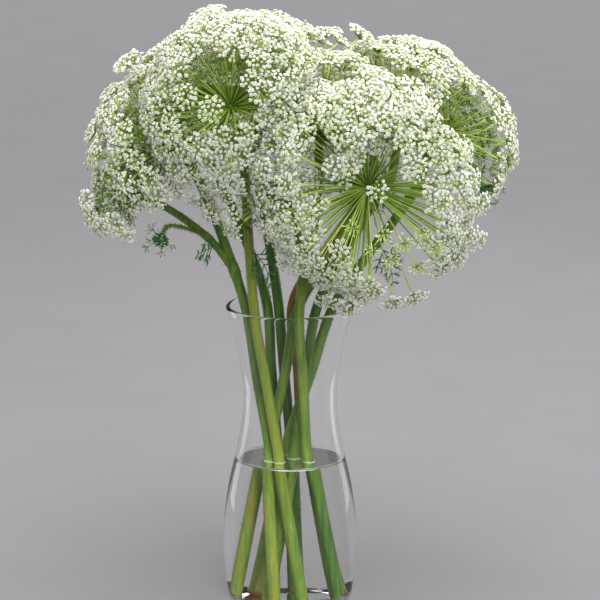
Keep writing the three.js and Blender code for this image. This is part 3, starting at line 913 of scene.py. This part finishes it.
def rayLine(root, tip, facing, arch):
    straight = tip - root
    bow = np.cross(np.cross(facing, straight), facing)
    bow = unit(bow) * np.linalg.norm(straight) * arch
    t = np.linspace(0, 1, umbel["raySteps"])[:, None]
    return root + straight * t + bow * (4 * t * (1 - t))


def makeUmbellet(head, turn, way, share, radius, arch=umbel["rayArch"]):
    # an umbellet and its ray: way is its direction in the head's own frame, share its part of the reach
    hub = np.array(head["hub"])
    root = hub + turn @ (way * umbel["rayStart"] * sizeOf(head))
    reach = head["reach"] * share - radius * umbel["sink"]
    tip = hub + turn @ (way * [1, 1, umbel["domeHeight"]] * reach)
    facing = unit(turn @ unit(way + umbel["tilt"] * up))
    line = rayLine(root, tip, facing, arch)
    return {"line": line, "tip": tip, "facing": facing, "radius": radius, "inner": False, "spent": False}


def singleUmbellet(head, turn, place, radius):
    # an umbellet by where it lies from the hub
    across, above, before = place
    way = turn.T @ np.array([across, -before, above]) / [1, 1, umbel["domeHeight"]]
    share = (np.linalg.norm(way) + radius * umbel["sink"]) / head["reach"]
    return makeUmbellet(head, turn, unit(way), share, radius)


def isInHollow(tip, radius, depth=0):
    height = tip[2] + rising * tip[1]
    margin = 0.5 * radius
    for hollow in hollows:
        across = (tip[0] - hollow["x"]) / (hollow["wide"] + margin)
        above = (height - hollow["z"]) / (hollow["high"] + margin)
        if across**2 + above**2 < 1 and tip[1] < hollow["back"] - depth:
            return True
    return False


def stemsBeside(name, lines):
    # all points of the other heads' stems, and the radius at each
    others = {other: line for other, line in lines.items() if other != name}
    radii = [np.full(len(line), heads[other].get("radius", stem["radius"])) for other, line in others.items()]
    return np.vstack(list(others.values())), np.concatenate(radii)


def isClear(new, taken, beside, apart):
    # taken holds the place and the radius of every umbellet of the heads before this one
    stemPoints, stemRadii = beside
    clear = np.linalg.norm(taken[:, :3] - new["tip"], axis=1) > apart * (taken[:, 3] + new["radius"])
    away = np.linalg.norm(stemPoints[:, None] - new["line"][None, 2:], axis=2).min(axis=1)
    return clear.all() and (away - stemRadii).min() > umbel["clearOfStems"]


def outerUmbellets(head, turn, radius, count, taken, beside, rng):
    # finds free places for the umbellets of the dome, shorter or turned where others stand in the way
    apart = head.get("apart", umbel["apart"])
    found = []
    for way in domeDirections(head, count, head.get("open", 0)):
        way = unit(way + rng.normal(0, umbel["scatter"], 3))
        isLong = rng.uniform() <= umbel["longShare"]
        stretch = umbel["longStretch"] if isLong else rng.uniform(*umbel["stretch"])
        rise = max(0, (turn @ way)[2] - umbel["topStart"]) / (1 - umbel["topStart"])
        size = radius * rng.uniform(*umbel["sizes"]) * (1 + umbel["topSize"] * rise)
        arch = umbel["rayArch"] * rng.uniform(*umbel["arches"])
        for share, angle in tries:
            new = makeUmbellet(head, turn, turnAbout(way, angle), share * stretch, size, arch)
            if isYoung(head) or isClear(new, taken, beside, apart):
                if isYoung(head) or not isInHollow(new["tip"], size):
                    found.append(new)
                break
    return found


def innerUmbellets(head, turn, radius, count, rng):
    # the lower umbellets on short rays that close the head from within; they bear no florets, and their
    # pedicels carry painted shade, so they read greener and darker
    found = []
    for way in domeDirections(head, int(count * head.get("inner", 0)), 0):
        new = makeUmbellet(head, turn, way, rng.uniform(*umbel["innerReach"]), radius * umbel["innerSize"])
        new["inner"] = True
        if not isInHollow(new["tip"], new["radius"], umbel["innerDepth"]):
            found.append(new)
    return found


def placeUmbellets(lines):
    rng = np.random.default_rng(seed + 1)
    placed = {}
    taken = np.full((1, 4), 1e6)
    for name, head in heads.items():
        turn = axes(head["faces"])
        radius = head["reach"] * umbel["youngUmbellet"] if isYoung(head) else umbel["umbelletRadius"]
        span = math.cos(math.radians(head.get("open", 0))) - math.cos(math.radians(head["spread"]))
        count = int(head["cover"] * umbel["crowding"] * span * (head["reach"] - 3) ** 2 / radius**2)
        outer = outerUmbellets(head, turn, radius, count, taken, stemsBeside(name, lines), rng)
        taken = np.vstack([taken] + [np.append(new["tip"], new["radius"])[None] for new in outer])
        found = outer + innerUmbellets(head, turn, radius, count, rng)
        for kind in ("single", "spent"):
            for *place, size in head.get(kind, []):
                found.append(singleUmbellet(head, turn, place, radius * size))
                found[-1]["spent"] = kind == "spent"
        placed[name] = found
        print(name, "umbellets", len(found), "of", count)
    return placed


# One floret of radius 1, facing +Z: closed petals round a small disc. A petal has an inner corner, two outer
# ones, and one raised on its back, each given as its place and its tone
petalCount = 5
petalCorners = [(0.05, 0, -0.35, 0.3), (0.9, -0.5, 0.0, 0.85), (0.9, 0.5, 0.0, 0.85), (0.6, 0, 0.62, 0.85)]
disc = {"radius": 0.24, "edge": 0.2, "top": 0.5, "tone": 0.45}
floret = {
    "radius": 1.35,
    "spacing": 3.2,
    "fewest": 8,
    "fill": 3.4,               # at 3.14, there is one floret for each square of the spacing
    "crowdOutward": 0.42,      # below 0.5, florets stand closer together at the umbellet's edge
    "dome": 0.22,              # how far an umbellet's middle rises and its pedicels reach, in its radius
    "pedicelLength": 0.35,
    "lean": 0.55,              # how far the outermost look outward
    "scatterOut": (0.9, 1.07),
    "scatterTurn": 0.15,
    "scatterHeight": 0.5,
    "scatterLook": 0.16,
    "sizes": (0.82, 1.12),
    "middleSize": 0.88,        # how wide the middle ones are, and how much wider the outermost are than those
    "outwardGrowth": 0.2,
    "budShare": 0.2,           # florets that are still green buds, how wide and how much greener they are
    "budSize": 0.7,
    "budAge": 0.45,
    "ageSpread": 0.08,
    "youngSize": 0.5,
    "spentShare": 0.25,        # florets left on an umbellet that has shed its petals
    "spentSize": 0.6,
    "spentAge": 0.3,
    "pedicelRadius": 0.34,
    "barePedicel": 1.4,        # pedicels that no floret hides are drawn this much thicker
    "pedicelFoot": 0.1,        # how far below the ray's end they start
    "pedicelTop": 0.05,        # and how far into the floret they reach, in its radius
    "pedicelTones": (0.2, 0.42, 0.42, 0.42, 0.52),   # at its foot, round its neck and at its top
    "upwardPaintedLight": 0.3,         # painted light: how much paler pedicels are on an umbellet that looks straight up, and darker on one looking down
    # painted shade on the pedicels of the inner umbellets, deep inside the head
    "innerPaintedShade": -0.45,
    "spentTone": 0.2,
}
spindle = {"neck": 0.86, "corners": (0, 2.094, 4.189)}   # how far along it is thickest, and where round it


def floretShape():
    corners, tones, faces = [], [], []
    for i in range(petalCount):
        c, s = math.cos(i * math.tau / petalCount), math.sin(i * math.tau / petalCount)
        a = len(corners)
        for x, y, z, tone in petalCorners:
            corners.append((c * x - s * y, s * x + c * y, z))
            tones.append(tone)
        faces += [(a, a + 1, a + 3), (a + 1, a + 2, a + 3), (a + 2, a, a + 3), (a, a + 2, a + 1)]
    a = len(corners)
    for i in range(petalCount):
        turn = (i + 0.5) * math.tau / petalCount
        corners.append((disc["radius"] * math.cos(turn), disc["radius"] * math.sin(turn), disc["edge"]))
        faces.append((a + i, a + (i + 1) % petalCount, a + petalCount))
    corners.append((0, 0, disc["top"]))
    tones += [disc["tone"]] * (petalCount + 1)
    return np.array(corners), np.array(faces), np.array(tones)


def umbelletFlorets(umbellet, rng):
    # places florets over an umbellet's low dome: centre, facing, radius of each
    radius = umbellet["radius"]
    count = max(floret["fewest"], int((radius / floret["spacing"]) ** 2 * floret["fill"]))
    i = np.arange(count)
    r = radius * ((i + 0.5) / count) ** floret["crowdOutward"] * rng.uniform(*floret["scatterOut"], count)
    a = i * goldenAngle + rng.uniform(0, 6.28) + rng.normal(0, floret["scatterTurn"], count)
    h = floret["dome"] * radius * (1 - (r / radius) ** 2) + rng.normal(0, floret["scatterHeight"], count)
    turn = axes(umbellet["facing"])
    local = np.column_stack([r * np.cos(a), r * np.sin(a), h + floret["pedicelLength"] * radius])
    lean = floret["lean"] * r / radius
    looks = np.column_stack([lean * np.cos(a), lean * np.sin(a), np.ones(count)])
    looks = unit(looks + rng.normal(0, floret["scatterLook"], (count, 3)))
    growth = floret["middleSize"] + floret["outwardGrowth"] * r / radius
    size = floret["radius"] * rng.uniform(*floret["sizes"], count) * growth
    return umbellet["tip"] + local @ turn.T, looks @ turn.T, size


def orient(shape, centres, looks, sizes, spins):
    # copies of a shape, each turned to look its own way
    right = unit(np.cross(notAlong(looks), looks))
    over = np.cross(looks, right)
    c, s = np.cos(spins)[:, None], np.sin(spins)[:, None]
    x, y = c * right + s * over, c * over - s * right
    across = shape[None, :, :1] * x[:, None] + shape[None, :, 1:2] * y[:, None]
    placed = across + shape[None, :, 2:] * looks[:, None]
    return centres[:, None] + placed * sizes[:, None, None]


def spindles(starts, ends, radius):
    # thin closed stalks that are thickest just before their end, as a pedicel is under its floret
    along = unit(ends - starts)
    right = unit(np.cross(notAlong(along), along))
    over = np.cross(along, right)
    neck = starts + (ends - starts) * spindle["neck"]
    ring = [neck + radius * (math.cos(t) * right + math.sin(t) * over) for t in spindle["corners"]]
    points = np.stack([starts, *ring, ends], axis=1)
    faces = np.array([(0, 2, 1), (0, 3, 2), (0, 1, 3), (1, 2, 4), (2, 3, 4), (3, 1, 4)])
    return points, faces


def addHub(green, head, turn):
    outline = [(r * sizeOf(head), z * sizeOf(head)) for r, z in umbel["hub"]]
    points, faces = lathe(outline, umbel["hubSides"])
    green.add(points @ turn.T + np.array(head["hub"]), faces, umbel["hubTone"])


# The small cut leaves round the hub, below the rays
bracts = {
    "count": 9,
    "length": 0.3,             # a share of the head's reach
    "lengths": (0.8, 1.2),
    "turns": (-0.2, 0.2),
    "lift": 0.35,              # how far they rise, and how that varies
    "lifts": (-0.6, 1),
    "below": 3,                # where they start: so far below the hub, and such a share of its radius out
    "out": 0.6,
    "pairs": (0.3, 0.62),
    "threadRadius": 0.3,
    "tone": -0.1,
}


def addBracts(green, head, turn, rng):
    size = sizeOf(head)
    for i in range(bracts["count"]):
        angle = (i + rng.uniform(*bracts["turns"])) * math.tau / bracts["count"]
        out = turn @ np.array([math.cos(angle), math.sin(angle), 0])
        way = unit(out + turn[:, 2] * bracts["lift"] * rng.uniform(*bracts["lifts"]))
        below = turn[:, 2] * bracts["below"] * size
        base = np.array(head["hub"]) - below + out * umbel["hubRadius"] * size * bracts["out"]
        length = bracts["length"] * head["reach"] * rng.uniform(*bracts["lengths"])
        side = unit(np.cross(way, turn[:, 2]))
        threads = threadFan(base, out, way, side, length, bracts["pairs"], rng)
        threadSkin(green, threads, bracts["threadRadius"], bracts["tone"])


def addRays(green, head, umbellets, rng):
    paths = np.array([umbellet["line"] for umbellet in umbellets])
    share = np.linspace(0, 1, umbel["raySteps"])
    width = np.interp(share, *umbel["rayWidth"])
    thin = umbel["thinnest"]
    radii = umbel["rayRadius"] * (thin + (1 - thin) * sizeOf(head)) * width
    points, faces = tubes(paths, np.broadcast_to(radii, paths.shape[:2]), umbel["raySides"])
    # rays darker towards the hub: partly their own colour, partly painted shade inside the head
    tones = rng.uniform(*umbel["rayTones"], len(paths))[:, None] + umbel["rayPalingAndPaintedShade"] * share
    green.add(points, faces, np.repeat(tones, umbel["raySides"], axis=1))


def pedicelPaintedLightAndTone(umbellet):
    # painted light and shade: pedicels are paler the more an umbellet looks up and greener the less it does,
    # and darkest deep inside the head, where shade falls; spent umbellets keep their own tone
    if umbellet["spent"]:
        return floret["spentTone"]
    shade = floret["upwardPaintedLight"] * umbellet["facing"][2]
    return floret["innerPaintedShade"] + max(0, shade) if umbellet["inner"] else shade


def addUmbellet(green, white, head, umbellet, shape, rng):
    corners, petalFaces, petalTones = shape
    centres, looks, sizes = umbelletFlorets(umbellet, rng)
    inner, spent = umbellet["inner"], umbellet["spent"]
    foot = umbellet["tip"] - umbellet["facing"] * floret["pedicelFoot"]
    tops = centres + looks * sizes[:, None] * floret["pedicelTop"]
    thick = floret["pedicelRadius"] * (floret["barePedicel"] if spent or inner else 1)
    points, faces = spindles(np.broadcast_to(foot, tops.shape), tops, thick)
    green.add(points, faces, np.array(floret["pedicelTones"]) + pedicelPaintedLightAndTone(umbellet))
    age = head["age"] + rng.normal(0, floret["ageSpread"])
    if isYoung(head):
        sizes = sizes * floret["youngSize"]
    if inner:
        return
    if spent:
        age += floret["spentAge"]
        keep = rng.uniform(size=len(sizes)) < floret["spentShare"]
        centres, looks, sizes = centres[keep], looks[keep], sizes[keep] * floret["spentSize"]
    if not len(sizes):
        return
    spins = rng.uniform(0, 6.28, len(sizes))
    bud = rng.uniform(size=len(sizes)) < floret["budShare"]
    sizes = np.where(bud, sizes * floret["budSize"], sizes)
    ages = age + rng.normal(0, floret["ageSpread"], len(sizes)) + np.where(bud, floret["budAge"], 0)
    white.add(orient(corners, centres, looks, sizes, spins), petalFaces, petalTones[None] - ages[:, None])


def makeUmbel(name, umbellets, rng):
    head = heads[name]
    turn = axes(head["faces"])
    shape = floretShape()
    green, white = Skin(), Skin()
    addHub(green, head, turn)
    addBracts(green, head, turn, rng)
    addRays(green, head, umbellets, rng)
    for umbellet in umbellets:
        addUmbellet(green, white, head, umbellet, shape, rng)
    stalk = materials["leaf"] if isYoung(head) else materials["ray"]
    buildPiece("umbel_" + name + "_rays", green, stalk, "umbel_" + name)
    buildPiece("umbel_" + name + "_florets", white, materials["petal"], "umbel_" + name)


# Leaves

# Leaves cut into threads. stem: what they grow from, and how far up it. way: where they point
leaves = {
    "left": {"stem": "left_low", "at": 0.22, "stemRadius": 2.6, "way": (-0.5, -0.85, 0.1), "length": 25},
    "middle": {"stem": "left_front", "at": 0.69, "stemRadius": 3.8, "way": (0.4, -0.5, -0.4), "length": 30},
    "right": {"stem": "right_side", "at": 0.75, "stemRadius": 3.8, "way": (0.3, -0.5, -0.6), "length": 30},
}
leafCut = {
    "pairs": (0.22, 0.4, 0.58, 0.76, 0.9),   # where side threads leave the rib
    "forks": (0.35, 0.62),                   # and where they fork
    "side": 0.55,                            # length of the lowest side threads, and of the forks, as a share
    "fork": 0.38,
    "start": 0.35,                           # how far the rib leaves straight off before it bends
    "sideWay": (0.7, 0.12),                  # how far side threads look ahead, and how that varies
    "forkWay": (0.8, 0.7, 0.15),             # how far forks look out and to their side, and how that varies
    "tip": 3,                                # length of the topmost side threads
    "threadRadius": 0.42,
    "threadWidth": ([0, 0.6, 1], [1.1, 0.9, 0.35]),
    "threadSides": 4,
    "steps": 6,
    "droop": 0.2,
    "embed": 0.8,                            # how far out of the stem's middle a leaf starts, in its radius
}



def threadFan(base, off, way, side, length, pairs, rng):
    # a rib that leaves along off and bends to way, with pairs of forked side threads
    t = np.linspace(0, 1, leafCut["steps"])[:, None]
    end = base + way * length - up * length * leafCut["droop"]
    rib = base * (1 - t) ** 2 + (base + off * length * leafCut["start"]) * 2 * t * (1 - t) + end * t**2
    threads = [rib]
    sideAhead, sideScatter = leafCut["sideWay"]
    forkOut, forkAside, forkScatter = leafCut["forkWay"]
    for share in pairs:
        reach = length * leafCut["side"] * (1 - share) + leafCut["tip"]
        start, _ = pointAt(rib, share)
        for hand in (-1, 1):
            out = unit(sideAhead * way + hand * side + rng.normal(0, sideScatter, 3))
            tip = start + out * reach - up * reach * leafCut["droop"]
            threads.append(start + (tip - start) * t)
            for fork in leafCut["forks"]:
                for turn in (-1, 1):
                    ahead = unit(forkOut * out + forkAside * turn * way + rng.normal(0, forkScatter, 3))
                    threads.append(start + (tip - start) * fork + ahead * reach * leafCut["fork"] * t)
    return threads


def threadSkin(skin, threads, radius, tone):
    paths = np.array(threads)
    radii = radius * np.interp(np.linspace(0, 1, paths.shape[1]), *leafCut["threadWidth"])
    points, faces = tubes(paths, np.broadcast_to(radii, paths.shape[:2]), leafCut["threadSides"])
    skin.add(points, faces, tone)


def makeLeaf(name, leaf, lines):
    rng = np.random.default_rng(seed + len(name))
    way = unit(leaf["way"])
    side = unit(np.cross(way, [0, -1, 0]))
    foot, along = pointAt(lines[leaf["stem"]], leaf["at"])
    off = unit(way - np.dot(way, along) * along)
    base = foot + off * leaf["stemRadius"] * leafCut["embed"]
    skin = Skin()
    threads = threadFan(base, off, way, side, leaf["length"], leafCut["pairs"], rng)
    threadSkin(skin, threads, leafCut["threadRadius"], 0.0)
    buildPiece("leaf_" + name + "_threads", skin, materials["leaf"], "leaf_" + name)


makeVase()
stemFeet = []
for head in heads.values():
    if "foot" in head:
        x, y, _ = standingPoint(head, water["level"])
        stemFeet.append((x, y, stem["radius"]))
makeWater(stemFeet)
lines = makeStems()
print("vase, water and stems made")
for name, leaf in leaves.items():
    makeLeaf(name, leaf, lines)
placed = placeUmbellets(lines)
for index, (name, umbellets) in enumerate(placed.items()):
    makeUmbel(name, umbellets, np.random.default_rng(seed + 100 + index))
print("leaves and umbels made")
